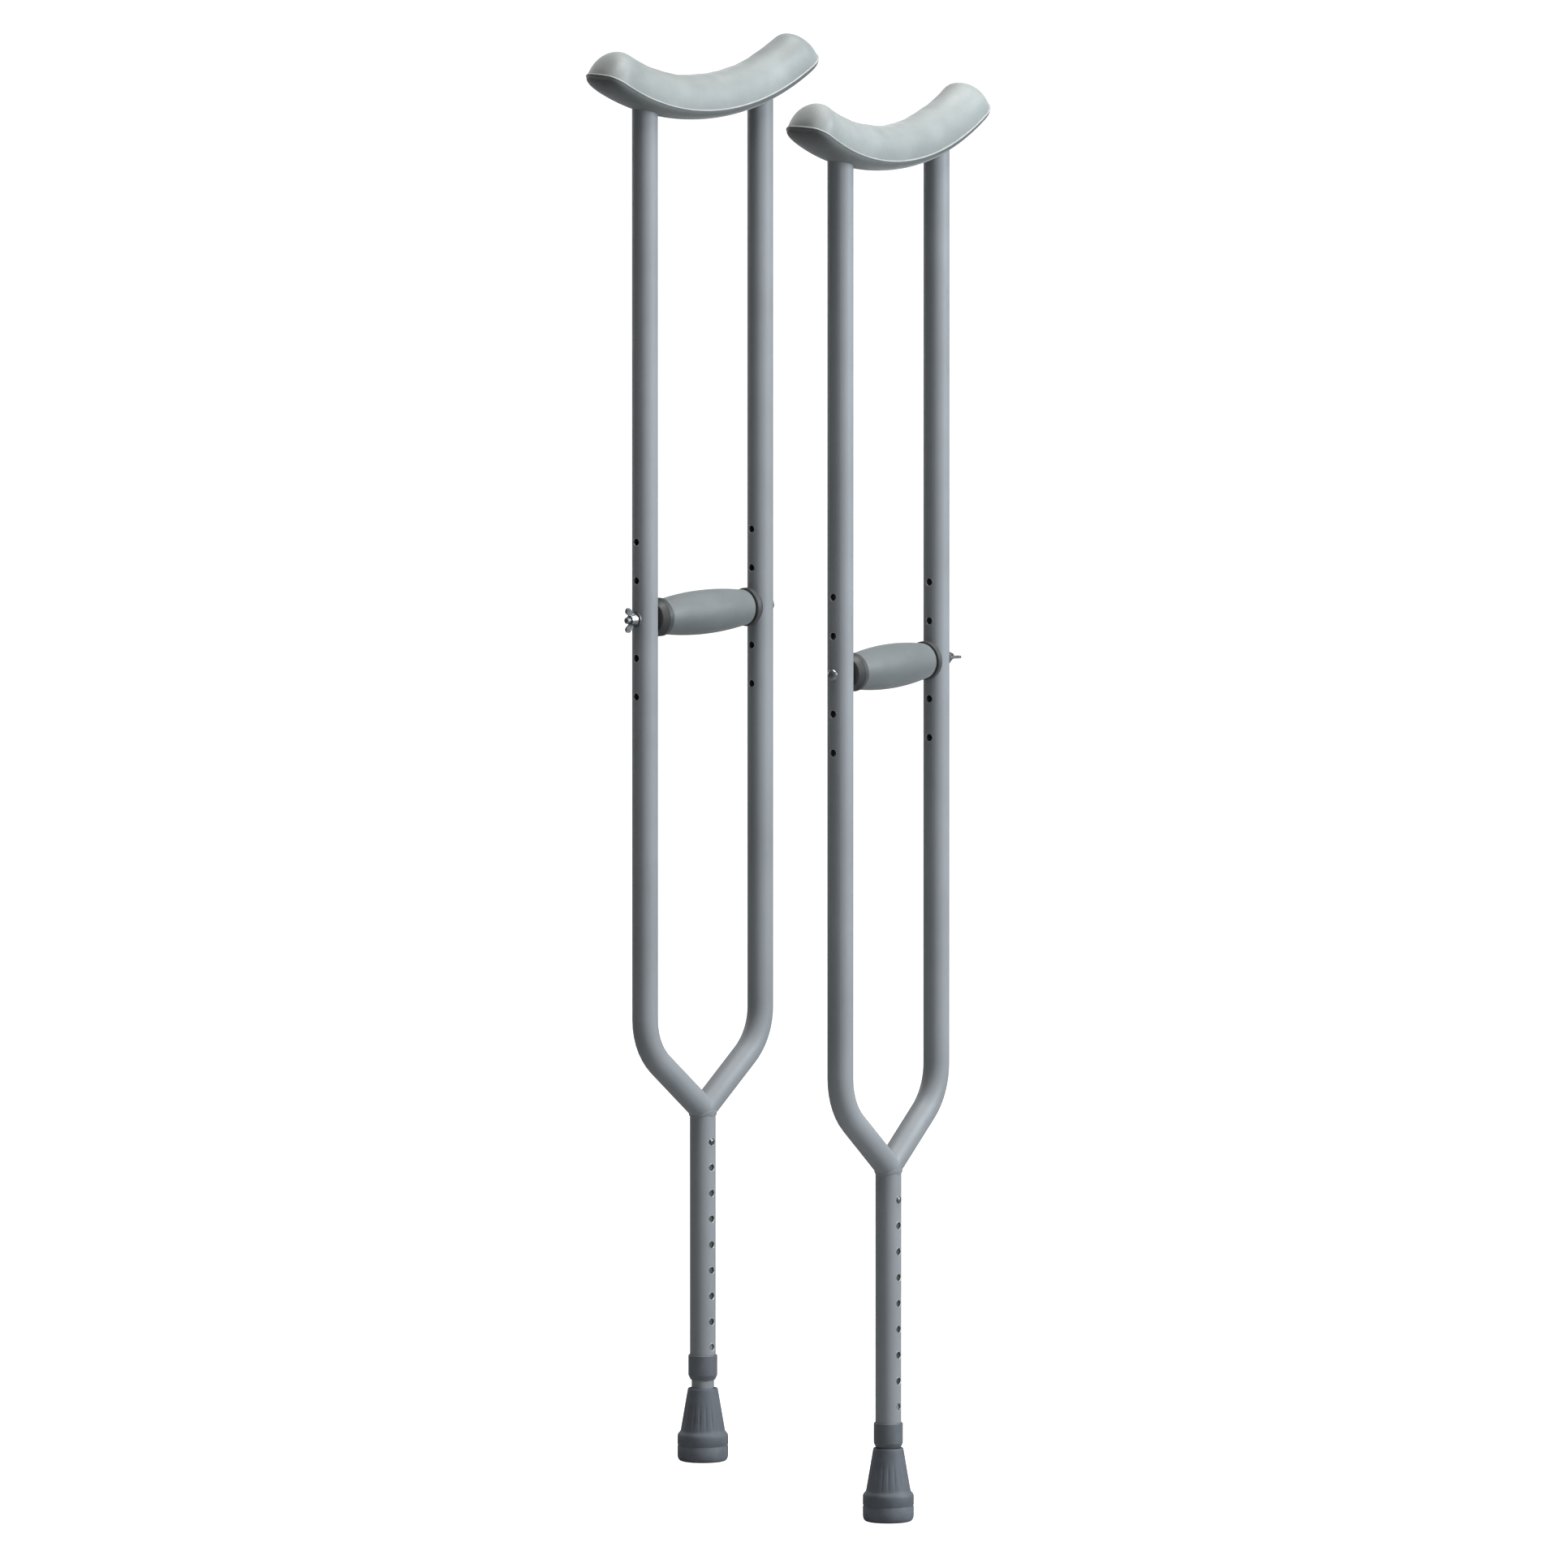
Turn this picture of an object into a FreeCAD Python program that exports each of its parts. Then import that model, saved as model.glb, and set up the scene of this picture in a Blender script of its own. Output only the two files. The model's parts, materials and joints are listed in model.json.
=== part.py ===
"""A pair of heavy-duty underarm crutches in millimetres, +Z up.

Each crutch is drawn in its own frame: the origin is the middle of the foot on the
floor, the two uprights stand at -X and +X, and the front (button side) faces -Y.
Crutch B stands beside crutch A, turned a little, with its handgrip bolt reversed.
The origin of the pair is the middle of its bounding box, on the floor.
"""
import FreeCAD, Part
import math
import os

V = FreeCAD.Vector

# Steel tubes
TUBE_R = 12.7             # uprights and outer leg, 1 in tube
TUBE_WALL = 1.5
SPACING = 160.0           # between the upright axes
UPRIGHT_TOP = 1354.0
JUNCTION_Z = 347.0        # where the three tube axes meet
BEND_ANGLE = 50.0         # lean of the lower diagonals from the vertical
BEND_R = 60.0             # bend radius on the tube axis
LEG_TUBE_END = 83.3       # lower end of the outer leg tube
WELD_PROUD = 1.1

# Height adjustment of the leg
INNER_R = 11.1            # inner leg, 7/8 in tube
INNER_WALL = 1.6
INNER_TOP = 332.0
INNER_BOTTOM = 11.6
LEG_HOLE_R = 3.7
LEG_HOLE_PITCH = 25.4
LEG_HOLES = 9
BUTTON_Z = 316.0          # top hole, where the snap button stands
STUD_R = 3.4
STUD_PROUD = 1.6          # beyond the outer leg tube
CLIP_WIDTH = 7.0
CLIP_THICK = 0.8
CLIP_FACE = 8.4           # outer faces of the clip's two arms, from the leg axis
CLIP_DROP = 40.0          # from the button down to the fold

# Leg collar and foot
COLLAR_R = 14.3
COLLAR_BORE = 12.8
COLLAR_LIP_BORE = 11.3
COLLAR_LIP = 2.6
COLLAR_H = 24.5
COLLAR_Z = {"a": 80.5, "b": 72.4}   # lower edge: home on A, slipped down onto the foot on B
FOOT_TOP = 72.0
FOOT_TOP_R = 14.9
FOOT_SHOULDER_Z = 30.5
FOOT_SHOULDER_R = 21.8
FOOT_BASE_R = 25.0
FOOT_BASE_Z = 26.5        # top of the full-width base band
FOOT_FLOOR = 10.0         # rubber under the foot washer
FOOT_BORE = 11.15
WASHER_H = 1.5

# Handgrip
GRIP_Z = 838.0
GRIP_HOLE_PITCH = 38.1
GRIP_HOLES = 5
GRIP_HOLE_R = 3.8
GRIP_HALF = 58.0          # half length of the rubber sleeve
GRIP_MID_R = 21.8
GRIP_END_R = 17.6
CORE_R = 10.0
CORE_BORE = 3.6
CORE_HALF = 61.8
CAP_R = 18.9
CAP_RIM = 64.0            # end of the cap's full-width rim, from the middle plane
CAP_REACH = 69.3          # outer end of each cap, just past the near side of the tube
CAP_NECK_R = 14.5

# Handgrip bolt, 1/4 in
BOLT_R = 3.175
BOLT_HEAD_R = 5.8
BOLT_HEAD_H = 3.4
BOLT_PAST_NUT = 5.0
NUT_BORE = 3.25
NUT_BASE_R = 6.2
NUT_TOP_R = 4.7
NUT_H = 7.0
WING_THICK = 2.3
WING_SPAN = 12.2          # from the bolt axis to the tip of a wing
WING_TOP = 12.2
WING_TURN = {"a": 0.0, "b": 90.0}   # how far each nut is turned on its bolt

# Underarm pad and the saddle inside it
PAD_DIP_BOTTOM = 1324.0   # lowest point of the underside
PAD_BOTTOM_R = 270.0      # radius of the underside, along the pad
PAD_HEIGHT = 44.0
PAD_SECTION_R = 25.8      # radius of the domed section
PAD_HALF = 145.0          # half length
PAD_CORNER = 12.0         # corner radius seen from above
PAD_HALF_ANGLE = 32.5     # of the arc, to the square-cut ends
SADDLE_LOW = 15.0         # lower face of the saddle bar above the underside
SADDLE_THICK = 6.0
SADDLE_HALF_WIDTH = 14.0
SADDLE_HALF_ANGLE = 21.5
BOSS_R = 15.5
BOSS_BOTTOM = 1344.0
PLUG_BOTTOM = 1314.0
SCREW_R = 2.4
SCREW_HEAD_R = 5.5
SCREW_HEAD_H = 3.2
SCREW_SEAT = 1358.0
GAP = 0.3                 # around hard parts buried in the pad

# Where crutch B stands, seen from crutch A
B_OFFSET = V(-199.0, -453.0, 0)
B_TURN = 9.0

ARC_CENTRE_Z = PAD_DIP_BOTTOM + PAD_BOTTOM_R
HALF = SPACING / 2.0


def rod(radius, start, end):
    """A solid cylinder between two points."""
    axis = end - start
    return Part.makeCylinder(radius, axis.Length, start, axis)


def tube(radius, bore, start, end):
    return rod(radius, start, end).cut(rod(bore, start, end))


def turned(points, base=V(0, 0, 0), axis=V(0, 0, 1)):
    """A body of revolution from (radius, height) corners, standing on base along axis."""
    outline = Part.makePolygon([V(r, 0, z) for r, z in points + points[:1]])
    solid = Part.Face(outline).revolve(V(0, 0, 0), V(0, 0, 1), 360)
    solid.Placement = FreeCAD.Placement(base, FreeCAD.Rotation(V(0, 0, 1), axis))
    return solid


def swept_upright(side, radius, top):
    """The full length of one bent upright as a solid bar of the given radius."""
    lean = math.radians(BEND_ANGLE)
    bend_in = BEND_R * (1 - math.cos(lean))
    bend_end_x = HALF - bend_in
    bend_end_z = JUNCTION_Z + bend_end_x / math.tan(lean)
    bend_start_z = bend_end_z + BEND_R * math.sin(lean)
    mid = lean / 2
    past = 20.0
    path = Part.Wire([
        Part.makeLine(V(side * HALF, 0, top), V(side * HALF, 0, bend_start_z)),
        Part.Arc(
            V(side * HALF, 0, bend_start_z),
            V(side * (HALF - BEND_R * (1 - math.cos(mid))), 0, bend_start_z - BEND_R * math.sin(mid)),
            V(side * bend_end_x, 0, bend_end_z),
        ).toShape(),
        Part.makeLine(
            V(side * bend_end_x, 0, bend_end_z),
            V(-side * past * math.sin(lean), 0, JUNCTION_Z - past * math.cos(lean)),
        ),
    ])
    ring = Part.Wire(Part.makeCircle(radius, V(side * HALF, 0, top), V(0, 0, 1)))
    return path.makePipeShell([ring], True, True)


def side_space(side):
    """Everything on one side of the middle plane."""
    size = 3000.0
    corner = V(0 if side > 0 else -size, -size / 2, -size / 2)
    return Part.makeBox(size, size, size, corner)


def upright(side):
    """A bent upright, mitred at the middle plane, with the grip holes through it."""
    bar = swept_upright(side, TUBE_R, UPRIGHT_TOP).common(side_space(side))
    body = bar.cut(swept_upright(side, TUBE_R - TUBE_WALL, UPRIGHT_TOP + 1))
    for level in range(GRIP_HOLES):
        z = GRIP_Z + (level - (GRIP_HOLES - 1) / 2) * GRIP_HOLE_PITCH
        drill = rod(GRIP_HOLE_R, V(side * (HALF - 20), 0, z), V(side * (HALF + 20), 0, z))
        body = body.cut(drill)
    return body


def yoke(radius):
    """Both diagonals as one solid bar, without the uprights above them."""
    both = [swept_upright(s, radius, JUNCTION_Z + 200).common(side_space(s)) for s in (-1, 1)]
    return both[0].fuse(both[1])


def leg_tube():
    """The outer leg: its top is coped to the yoke, its front has the height holes."""
    body = rod(TUBE_R, V(0, 0, LEG_TUBE_END), V(0, 0, JUNCTION_Z)).cut(yoke(TUBE_R))
    body = body.cut(rod(TUBE_R - TUBE_WALL, V(0, 0, LEG_TUBE_END - 1), V(0, 0, JUNCTION_Z + 20)))
    for level in range(LEG_HOLES):
        z = BUTTON_Z - level * LEG_HOLE_PITCH
        body = body.cut(rod(LEG_HOLE_R, V(0, -20, z), V(0, 0, z)))
    return largest(body)


def largest(shape):
    """The biggest solid left by a cut."""
    return max(shape.Solids, key=lambda solid: solid.Volume)


def weld_bead():
    """The raised seam where the leg and the two diagonals meet."""
    fat = TUBE_R + WELD_PROUD
    leg_fat = rod(fat, V(0, 0, JUNCTION_Z - 60), V(0, 0, JUNCTION_Z))
    leg_thin = rod(TUBE_R, V(0, 0, JUNCTION_Z - 61), V(0, 0, JUNCTION_Z))
    bead = leg_fat.common(yoke(fat))
    return largest(bead.cut(leg_thin).cut(yoke(TUBE_R)))


def inner_leg():
    body = tube(INNER_R, INNER_R - INNER_WALL, V(0, 0, INNER_BOTTOM), V(0, 0, INNER_TOP))
    return body.cut(rod(LEG_HOLE_R, V(0, -20, BUTTON_Z), V(0, 0, BUTTON_Z)))


def snap_button():
    """The stud: a short pin with a domed end, standing on the clip's front arm."""
    length = TUBE_R + STUD_PROUD - CLIP_FACE
    profile = [(0, 0), (STUD_R, 0), (STUD_R, length - 1.6), (STUD_R * 0.8, length - 0.6),
               (STUD_R * 0.42, length - 0.1), (0, length)]
    return turned(profile, V(0, -CLIP_FACE, BUTTON_Z), V(0, -1, 0))


def snap_spring():
    """The folded spring clip inside the inner leg."""
    top = BUTTON_Z + 9
    fold = BUTTON_Z - CLIP_DROP
    face, skin = CLIP_FACE, CLIP_THICK
    outline = [(-face, top), (-face, fold + 14), (-2.2, fold), (2.2, fold), (face, fold + 14), (face, top),
               (face - skin, top), (face - skin, fold + 14.3), (1.8, fold + skin), (-1.8, fold + skin),
               (skin - face, fold + 14.3), (skin - face, top)]
    wire = Part.makePolygon([V(-CLIP_WIDTH / 2, y, z) for y, z in outline + outline[:1]])
    return Part.Face(wire).extrude(V(CLIP_WIDTH, 0, 0))


def leg_collar(low):
    """The bushing on the leg tube's end, with a lip that steadies the inner leg."""
    outer = [(COLLAR_LIP_BORE, 0), (COLLAR_R - 2.0, 0), (COLLAR_R, 4.5), (COLLAR_R, COLLAR_H - 0.8),
             (COLLAR_R - 0.8, COLLAR_H), (COLLAR_BORE, COLLAR_H), (COLLAR_BORE, COLLAR_LIP),
             (COLLAR_LIP_BORE, COLLAR_LIP)]
    return turned(outer, V(0, 0, low))


def foot_tip():
    """The rubber foot: a cone on a wide base with tread grooves, and a blind socket."""
    profile = [(0, 0), (6, 0), (6, 1.5), (9, 1.5), (9, 0), (13, 0), (13, 1.5), (16, 1.5), (16, 0),
               (FOOT_BASE_R - 3, 0), (FOOT_BASE_R - 0.9, 1.0), (FOOT_BASE_R, 3.2),
               (FOOT_BASE_R, FOOT_BASE_Z), (FOOT_BASE_R - 1.2, FOOT_BASE_Z + 2.2),
               (FOOT_SHOULDER_R, FOOT_SHOULDER_Z), (FOOT_TOP_R, FOOT_TOP - 1), (FOOT_TOP_R - 1, FOOT_TOP),
               (FOOT_BORE, FOOT_TOP), (FOOT_BORE, FOOT_FLOOR), (0, FOOT_FLOOR)]
    return turned(profile)


def tip_washer():
    return tube(INNER_R - 0.1, 3.5, V(0, 0, FOOT_FLOOR), V(0, 0, FOOT_FLOOR + WASHER_H))


def grip_core():
    return tube(CORE_R, CORE_BORE, V(-CORE_HALF, 0, GRIP_Z), V(CORE_HALF, 0, GRIP_Z))


def grip_sleeve():
    """The rubber handgrip, fuller in the middle, with rounded ends."""
    half, bore = GRIP_HALF, CORE_R + 0.05
    outline = Part.Wire([
        Part.makeLine(V(bore, 0, -half), V(GRIP_END_R - 3, 0, -half)),
        Part.Arc(V(GRIP_END_R - 3, 0, -half), V(GRIP_END_R - 0.9, 0, 0.9 - half),
                 V(GRIP_END_R, 0, 3 - half)).toShape(),
        Part.Arc(V(GRIP_END_R, 0, 3 - half), V(GRIP_MID_R, 0, 0), V(GRIP_END_R, 0, half - 3)).toShape(),
        Part.Arc(V(GRIP_END_R, 0, half - 3), V(GRIP_END_R - 0.9, 0, half - 0.9),
                 V(GRIP_END_R - 3, 0, half)).toShape(),
        Part.makeLine(V(GRIP_END_R - 3, 0, half), V(bore, 0, half)),
        Part.makeLine(V(bore, 0, half), V(bore, 0, -half)),
    ])
    body = Part.Face(outline).revolve(V(0, 0, 0), V(0, 0, 1), 360)
    body.Placement = FreeCAD.Placement(V(0, 0, GRIP_Z), FreeCAD.Rotation(V(0, 0, 1), V(1, 0, 0)))
    return body


def grip_cap(side):
    """An end cap: seats the core, and its outer face is hollowed to sit on the tube."""
    near, far = side * (GRIP_HALF + 0.1), side * CAP_REACH
    profile = [(0, 0), (CAP_R - 0.8, 0), (CAP_R, 0.8), (CAP_R, CAP_RIM - GRIP_HALF - 0.8),
               (CAP_R - 0.8, CAP_RIM - GRIP_HALF), (CAP_NECK_R, CAP_REACH - GRIP_HALF - 0.1),
               (0, CAP_REACH - GRIP_HALF - 0.1)]
    body = turned(profile, V(near, 0, GRIP_Z), V(side, 0, 0))
    body = body.cut(rod(CORE_R + 0.1, V(near, 0, GRIP_Z), V(side * (CORE_HALF + 0.2), 0, GRIP_Z)))
    body = body.cut(rod(GRIP_HOLE_R, V(near, 0, GRIP_Z), V(far, 0, GRIP_Z)))
    hug = rod(TUBE_R + 0.1, V(side * HALF, 0, GRIP_Z - 40), V(side * HALF, 0, GRIP_Z + 40))
    return body.cut(hug)


def grip_bolt(nut_side):
    """Round-headed bolt through both uprights and the grip."""
    head_face = HALF + TUBE_R + 0.05
    head = turned([(0, 0), (BOLT_HEAD_R, 0), (BOLT_HEAD_R, 0.9), (BOLT_HEAD_R * 0.88, BOLT_HEAD_H * 0.55),
                   (BOLT_HEAD_R * 0.6, BOLT_HEAD_H * 0.86), (BOLT_HEAD_R * 0.25, BOLT_HEAD_H), (0, BOLT_HEAD_H)],
                  V(-nut_side * head_face, 0, GRIP_Z), V(-nut_side, 0, 0))
    reach = nut_base() + NUT_H + BOLT_PAST_NUT
    shank = rod(BOLT_R, V(-nut_side * head_face, 0, GRIP_Z), V(nut_side * (reach - 0.8), 0, GRIP_Z))
    end = Part.makeCone(BOLT_R, BOLT_R - 0.8, 0.8, V(nut_side * (reach - 0.8), 0, GRIP_Z), V(nut_side, 0, 0))
    return head.fuse([shank, end]).removeSplitter()


def nut_base():
    """Distance of the wing nut's base from the middle plane."""
    return HALF + TUBE_R + 0.1 + WASHER_H + 0.1


def nut_washer(nut_side):
    inner = nut_side * (HALF + TUBE_R + 0.1)
    return tube(8.0, GRIP_HOLE_R, V(inner, 0, GRIP_Z), V(inner + nut_side * WASHER_H, 0, GRIP_Z))


def wing(up):
    """One flat wing in the bolt's long plane, drawn for a nut that opens towards +Z."""
    ear_r = 3.2
    ear = V(up * (WING_SPAN - ear_r), 0, WING_TOP - ear_r)
    root_low, root_high = V(up * 3.6, 0, 0.8), V(up * 3.6, 0, NUT_H - 0.6)
    low_touch = ear + V(up * ear_r * 0.78, 0, -ear_r * 0.62)
    high_touch = ear + V(-up * ear_r * 0.9, 0, ear_r * 0.42)
    far = ear + V(up * ear_r * 0.45, 0, ear_r * 0.89)
    outline = Part.Wire([
        Part.makeLine(root_high, root_low),
        Part.makeLine(root_low, V(up * 6.2, 0, 1.2)),
        Part.makeLine(V(up * 6.2, 0, 1.2), low_touch),
        Part.Arc(low_touch, far, high_touch).toShape(),
        Part.makeLine(high_touch, root_high),
    ])
    blade = Part.Face(outline).extrude(V(0, WING_THICK, 0))
    blade.translate(V(0, -WING_THICK / 2, 0))
    return blade


def wing_nut(nut_side, turned_by):
    hub = turned([(0, 0), (NUT_BASE_R, 0), (NUT_BASE_R, 0.8), (NUT_TOP_R, NUT_H), (0, NUT_H)])
    body = hub.fuse([wing(1), wing(-1)]).cut(rod(NUT_BORE, V(0, 0, -1), V(0, 0, NUT_H + 1)))
    on_axis = FreeCAD.Rotation(V(0, 1, 0), 90 * nut_side)
    spun = FreeCAD.Rotation(V(0, 0, 1), turned_by)
    body.Placement = FreeCAD.Placement(V(nut_side * nut_base(), 0, GRIP_Z), on_axis * spun)
    return body


def arched(section, half_angle):
    """Sweep a face in the middle plane both ways along the pad's arc."""
    centre = V(0, 0, ARC_CENTRE_Z)
    face = section.copy()
    face.rotate(centre, V(0, 1, 0), half_angle)
    return face.revolve(centre, V(0, -1, 0), 2 * half_angle)


def bar_section(half_width, low, high):
    corners = [(-half_width, low), (half_width, low), (half_width, high), (-half_width, high)]
    return Part.Face(Part.makePolygon([V(0, y, PAD_DIP_BOTTOM + h) for y, h in corners + corners[:1]]))


def saddle_form(grow):
    """The saddle bar with its two bosses, enlarged all round by grow."""
    bar = arched(bar_section(SADDLE_HALF_WIDTH + grow, SADDLE_LOW - grow, SADDLE_LOW + SADDLE_THICK + grow),
                 SADDLE_HALF_ANGLE + grow / 5)
    bosses = [rod(BOSS_R + grow, V(s * HALF, 0, BOSS_BOTTOM - grow), V(s * HALF, 0, SCREW_SEAT))
              for s in (-1, 1)]
    return bar.fuse(bosses)


def saddle():
    """The core of the underarm rest: a curved bar with a socket for each upright."""
    body = saddle_form(0)
    for s in (-1, 1):
        body = body.cut(rod(TUBE_R + 0.1, V(s * HALF, 0, BOSS_BOTTOM - 1), V(s * HALF, 0, UPRIGHT_TOP + 0.1)))
        body = body.cut(rod(SCREW_R + 0.2, V(s * HALF, 0, UPRIGHT_TOP), V(s * HALF, 0, UPRIGHT_TOP + 30)))
        body = body.cut(rod(SCREW_HEAD_R + 0.5, V(s * HALF, 0, SCREW_SEAT), V(s * HALF, 0, SCREW_SEAT + 20)))
    return body


def upright_plugs():
    """Plugs pressed into the tube tops for the saddle screws."""
    plugs = [tube(TUBE_R - TUBE_WALL - 0.05, SCREW_R + 0.05, V(s * HALF, 0, PLUG_BOTTOM),
                  V(s * HALF, 0, UPRIGHT_TOP)) for s in (-1, 1)]
    return Part.makeCompound(plugs)


def saddle_screws():
    screws = []
    for s in (-1, 1):
        shank = rod(SCREW_R, V(s * HALF, 0, PLUG_BOTTOM + 8), V(s * HALF, 0, SCREW_SEAT + 0.1))
        head = turned([(0, 0), (SCREW_HEAD_R, 0), (SCREW_HEAD_R, SCREW_HEAD_H * 0.5),
                       (SCREW_HEAD_R * 0.6, SCREW_HEAD_H), (0, SCREW_HEAD_H)], V(s * HALF, 0, SCREW_SEAT + 0.1))
        screws.append(shank.fuse(head))
    return Part.makeCompound(screws)


def pad_blank():
    """The domed pad, curved along its length, with rounded corners seen from above."""
    centre_h = PAD_HEIGHT - PAD_SECTION_R
    chord = math.sqrt(PAD_SECTION_R ** 2 - centre_h ** 2)
    left, right = V(0, -chord, PAD_DIP_BOTTOM), V(0, chord, PAD_DIP_BOTTOM)
    section = Part.Face(Part.Wire([
        Part.makeLine(left, right),
        Part.Arc(right, V(0, 0, PAD_DIP_BOTTOM + PAD_HEIGHT), left).toShape(),
    ]))
    blank = arched(section, PAD_HALF_ANGLE)
    reach, depth, r = PAD_HALF, PAD_SECTION_R + 0.5, PAD_CORNER
    slab = Part.makeBox(2 * reach, 2 * depth, 200, V(-reach, -depth, PAD_DIP_BOTTOM - 20))
    edges = [e for e in slab.Edges if abs(e.Vertexes[0].Z - e.Vertexes[1].Z) > 100]
    return blank.common(slab.makeFillet(r, edges))


def underarm_pad():
    """The soft underarm cushion with the room inside it for the saddle and the tubes."""
    body = pad_blank().cut(saddle_form(GAP))
    for s in (-1, 1):
        body = body.cut(rod(TUBE_R + GAP, V(s * HALF, 0, PAD_DIP_BOTTOM - 10), V(s * HALF, 0, BOSS_BOTTOM)))
        body = body.cut(rod(SCREW_HEAD_R + 1, V(s * HALF, 0, SCREW_SEAT - 1),
                            V(s * HALF, 0, SCREW_SEAT + SCREW_HEAD_H + 0.6)))
    return body


def crutch(name, nut_side):
    """All the pieces of one crutch by node name."""
    pieces = {
        "upright_left": upright(-1),
        "upright_right": upright(1),
        "leg_tube": leg_tube(),
        "weld_bead": weld_bead(),
        "upright_plugs": upright_plugs(),
        "saddle": saddle(),
        "saddle_screws": saddle_screws(),
        "underarm_pad": underarm_pad(),
        "inner_leg": inner_leg(),
        "leg_collar": leg_collar(COLLAR_Z[name]),
        "foot_tip": foot_tip(),
        "tip_washer": tip_washer(),
        "snap_button": snap_button(),
        "snap_spring": snap_spring(),
        "grip_core": grip_core(),
        "grip_sleeve": grip_sleeve(),
        "grip_cap_left": grip_cap(-1),
        "grip_cap_right": grip_cap(1),
        "grip_bolt": grip_bolt(nut_side),
        "nut_washer": nut_washer(nut_side),
        "wing_nut": wing_nut(nut_side, WING_TURN[name]),
    }
    return {"%s_%s" % (piece, name): shape for piece, shape in pieces.items()}


def pair():
    """Both crutches, with the middle of their bounding box over the origin."""
    nodes = crutch("a", -1)
    for node, shape in crutch("b", 1).items():
        shape.rotate(V(0, 0, 0), V(0, 0, 1), B_TURN)
        shape.translate(B_OFFSET)
        nodes[node] = shape
    box = FreeCAD.BoundBox()
    for shape in nodes.values():
        box.add(shape.optimalBoundingBox(False))
    for shape in nodes.values():
        shape.translate(V(-box.Center.x, -box.Center.y, -box.ZMin))
    return nodes


os.makedirs("parts", exist_ok=True)
for node, shape in pair().items():
    shape.exportStep("parts/%s.step" % node)
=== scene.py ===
"""Looks for the pair of underarm crutches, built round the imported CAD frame, in metres."""
import json
import math

import bmesh
import bpy
from mathutils import Matrix, Vector


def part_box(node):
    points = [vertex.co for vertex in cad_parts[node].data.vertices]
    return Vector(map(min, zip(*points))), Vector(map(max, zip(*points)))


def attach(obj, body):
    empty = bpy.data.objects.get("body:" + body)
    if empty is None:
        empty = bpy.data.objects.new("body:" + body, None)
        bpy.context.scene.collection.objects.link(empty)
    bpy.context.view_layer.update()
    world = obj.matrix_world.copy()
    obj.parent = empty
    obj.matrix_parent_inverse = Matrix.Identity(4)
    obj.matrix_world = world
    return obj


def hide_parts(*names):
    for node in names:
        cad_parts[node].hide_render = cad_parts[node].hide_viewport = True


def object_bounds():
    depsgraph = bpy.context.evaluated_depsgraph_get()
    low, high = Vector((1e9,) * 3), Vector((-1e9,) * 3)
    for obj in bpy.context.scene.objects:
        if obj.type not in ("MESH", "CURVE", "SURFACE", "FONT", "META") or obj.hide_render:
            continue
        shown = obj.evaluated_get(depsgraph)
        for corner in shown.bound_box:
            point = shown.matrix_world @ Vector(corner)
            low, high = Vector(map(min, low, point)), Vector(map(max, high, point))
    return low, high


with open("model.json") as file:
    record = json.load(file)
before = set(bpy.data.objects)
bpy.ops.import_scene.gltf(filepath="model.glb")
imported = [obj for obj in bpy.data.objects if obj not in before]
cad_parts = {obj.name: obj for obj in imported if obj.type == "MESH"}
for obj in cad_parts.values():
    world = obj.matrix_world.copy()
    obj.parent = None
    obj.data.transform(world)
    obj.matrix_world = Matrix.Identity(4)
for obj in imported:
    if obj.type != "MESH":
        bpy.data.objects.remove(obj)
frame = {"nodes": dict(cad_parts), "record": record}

MM = 0.001
CAD_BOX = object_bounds()
NODES = frame["nodes"]
TURN = {"a": 0.0, "b": math.radians(9.0)}     # how each crutch is turned about Z

# Sizes repeated from the CAD, in millimetres
TUBE_R = 12.7
HALF = 80.0
GRIP_Z = 838.0
GRIP_PITCH = 38.1
BUTTON_Z = 316.0
LEG_PITCH = 25.4
GRIP_LEVELS = [GRIP_Z + GRIP_PITCH * i for i in (-2, -1, 0, 1, 2)]
LEG_LEVELS = [BUTTON_Z - LEG_PITCH * i for i in range(9)]
ARC_CENTRE_Z = 1594.0     # centre of the underarm pad's arc
ARC_R = 270.0             # radius of its underside


# ---------------------------------------------------------------- placing

def foot_centre(name):
    lo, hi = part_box("foot_tip_" + name)
    return Vector(((lo.x + hi.x) / 2, (lo.y + hi.y) / 2, 0.0))


def crutch_matrix(name):
    """From one crutch's own millimetre frame to the pair's frame in metres."""
    return (Matrix.Translation(foot_centre(name)) @ Matrix.Rotation(TURN[name], 4, "Z")
            @ Matrix.Diagonal((MM, MM, MM, 1)))


def mesh_object(name, verts, faces, crutch):
    """A mesh drawn in a crutch's millimetre frame, placed in the pair's frame."""
    mesh = bpy.data.meshes.new(name)
    place = crutch_matrix(crutch)
    mesh.from_pydata([place @ Vector(v) for v in verts], [], faces)
    mesh.validate()
    work = bmesh.new()
    work.from_mesh(mesh)
    bmesh.ops.recalc_face_normals(work, faces=work.faces)
    work.to_mesh(mesh)
    work.free()
    for poly in mesh.polygons:
        poly.use_smooth = True
    obj = bpy.data.objects.new(name, mesh)
    bpy.context.scene.collection.objects.link(obj)
    return obj


def ring_faces(rings, around, closed):
    """Quads joining successive rings of the same number of points, the last to the first if closed."""
    faces = []
    last = rings if closed else rings - 1
    for i in range(last):
        a, b = i * around, ((i + 1) % rings) * around
        for j in range(around):
            k = (j + 1) % around
            faces.append((a + j, a + k, b + k, b + j))
    return faces


def arc(centre, radii, start, end, steps):
    """Points along an ellipse; the angles are in degrees from its level axis."""
    points = []
    for i in range(steps + 1):
        t = math.radians(start + (end - start) * i / steps)
        points.append((centre[0] + radii[0] * math.cos(t), centre[1] + radii[1] * math.sin(t)))
    return points


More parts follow.
